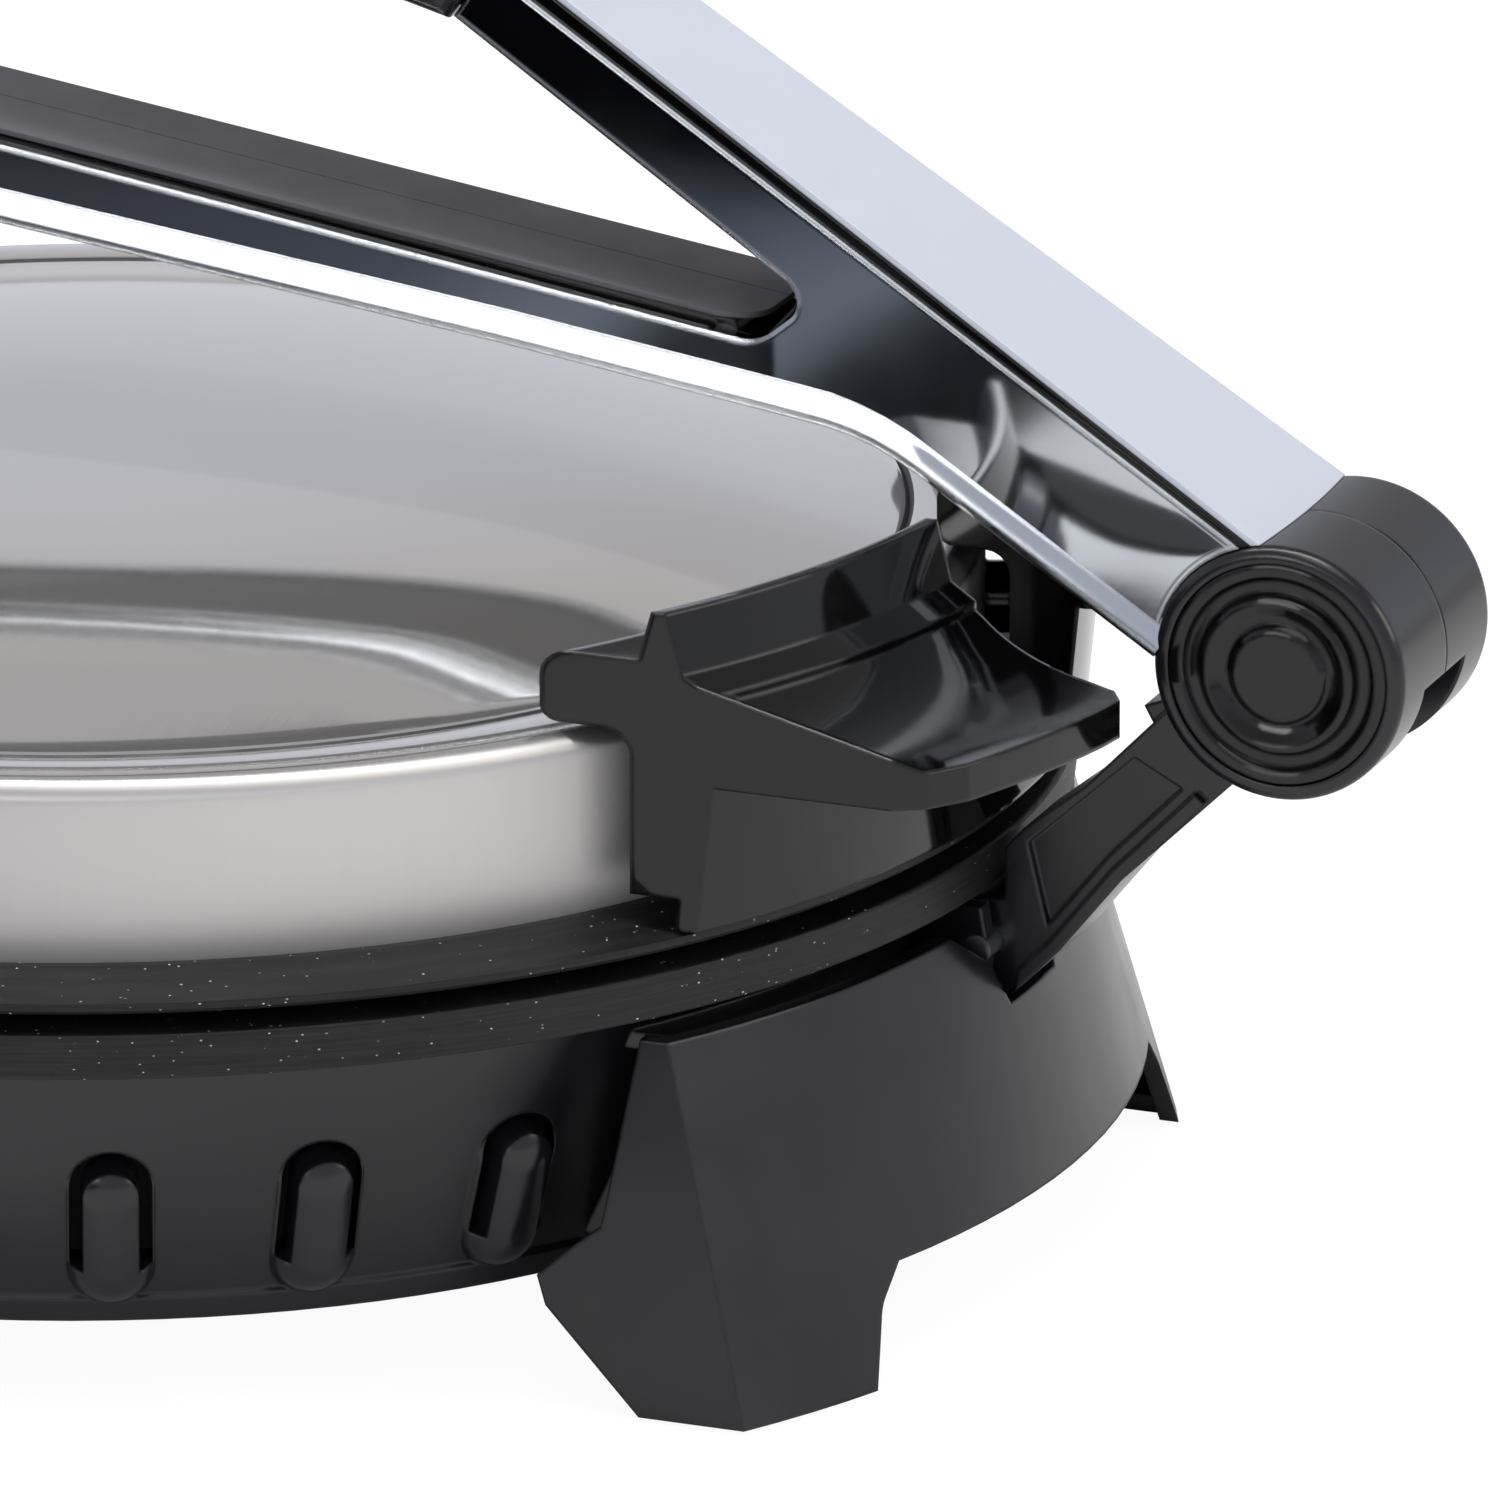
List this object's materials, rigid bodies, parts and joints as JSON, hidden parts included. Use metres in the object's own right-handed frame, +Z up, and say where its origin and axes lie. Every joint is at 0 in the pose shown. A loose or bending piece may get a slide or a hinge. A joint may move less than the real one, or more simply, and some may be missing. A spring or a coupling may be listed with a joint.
{
  "type": "electric roti maker",
  "caption": "Countertop flatbread press: two round hot plates, domed steel lid on a rear hinge, and a forked press lever on a front strut.",
  "frame": {"origin": "on the table plane, at the middle of the footprint, halfway between the front of the lever hub and the back of the hinge knuckles; the round plates are centred 17.7 mm behind it", "axes": "+Z up; -Y towards the front, where the handle and the lever hub are; +X to the right of a person facing the rear"},
  "size_m": [0.268, 0.3554, 0.2493],
  "materials": {
    "satin_black": "satin moulded, black",
    "gloss_black": "glossy moulded, black",
    "grey_plastic": "matt moulded, dark grey",
    "brushed_steel": "brushed, fine straight grain",
    "plain_steel": "plain sheet and rod",
    "satin_metal": "satin silver lacquer",
    "chrome": "polished, dark",
    "nonstick": "non-stick coating with pale flecks on cast aluminium",
    "rubber": "matt",
    "ceramic": "moulded, pale heat-proof"
  },
  "bodies": {
    "base": {"housing": "satin_black", "bottom_cover": "plain_steel", "bottom_cover_screws": "plain_steel", "foot_pads": "rubber", "lower_plate": "nonstick", "lower_element": "plain_steel", "lower_reflector": "plain_steel", "lower_reflector_screws": "plain_steel", "plate_screws": "plain_steel", "thermostat": "ceramic", "thermal_fuse": "plain_steel", "terminal_block": "ceramic", "cord_inlet_bush": "rubber", "hinge_pin": "plain_steel", "strut_pin": "plain_steel"},
    "lid": {"lid_shell": "brushed_steel", "upper_plate": "nonstick", "upper_element": "plain_steel", "upper_reflector": "plain_steel", "upper_reflector_screws": "plain_steel", "lid_thermal_fuse": "plain_steel", "front_handle": "gloss_black", "handle_screws": "plain_steel", "rear_bracket": "gloss_black", "bracket_screws": "plain_steel"},
    "strut": {"strut": "satin_black"},
    "lever": {"hub_axle": "plain_steel", "hub_near_half": "satin_black", "hub_far_half": "satin_black", "hub_near_cap": "gloss_black", "hub_far_cap": "gloss_black", "lever_core": "gloss_black", "lever_near_cheek": "chrome", "lever_far_cheek": "chrome", "lever_top_cover": "satin_metal", "rail_cap_near": "grey_plastic", "rail_cap_far": "grey_plastic", "hand_grip": "satin_black", "press_pad": "rubber"}
  },
  "joints": [
    {"name": "lid_hinge", "type": "hinge", "parent": "base", "child": "lid", "pos_m": [0, 0.1697, 0.034], "axis": [-1, 0, 0], "range_deg": [0, 90]},
    {"name": "strut_pivot", "type": "hinge", "parent": "base", "child": "strut", "pos_m": [0, -0.1153, 0.047], "axis": [1, 0, 0], "range_deg": [0, 45]},
    {"name": "lever_pivot", "type": "hinge", "parent": "strut", "child": "lever", "pos_m": [0, -0.1601, 0.093], "axis": [1, 0, 0], "range_deg": [0, 98.1]}
  ],
  "couplings": [
    {"joint": "strut_pivot", "follows": "lid_hinge", "ratio": 0.5},
    {"joint": "lever_pivot", "follows": "lid_hinge", "ratio": 1.09}
  ]
}
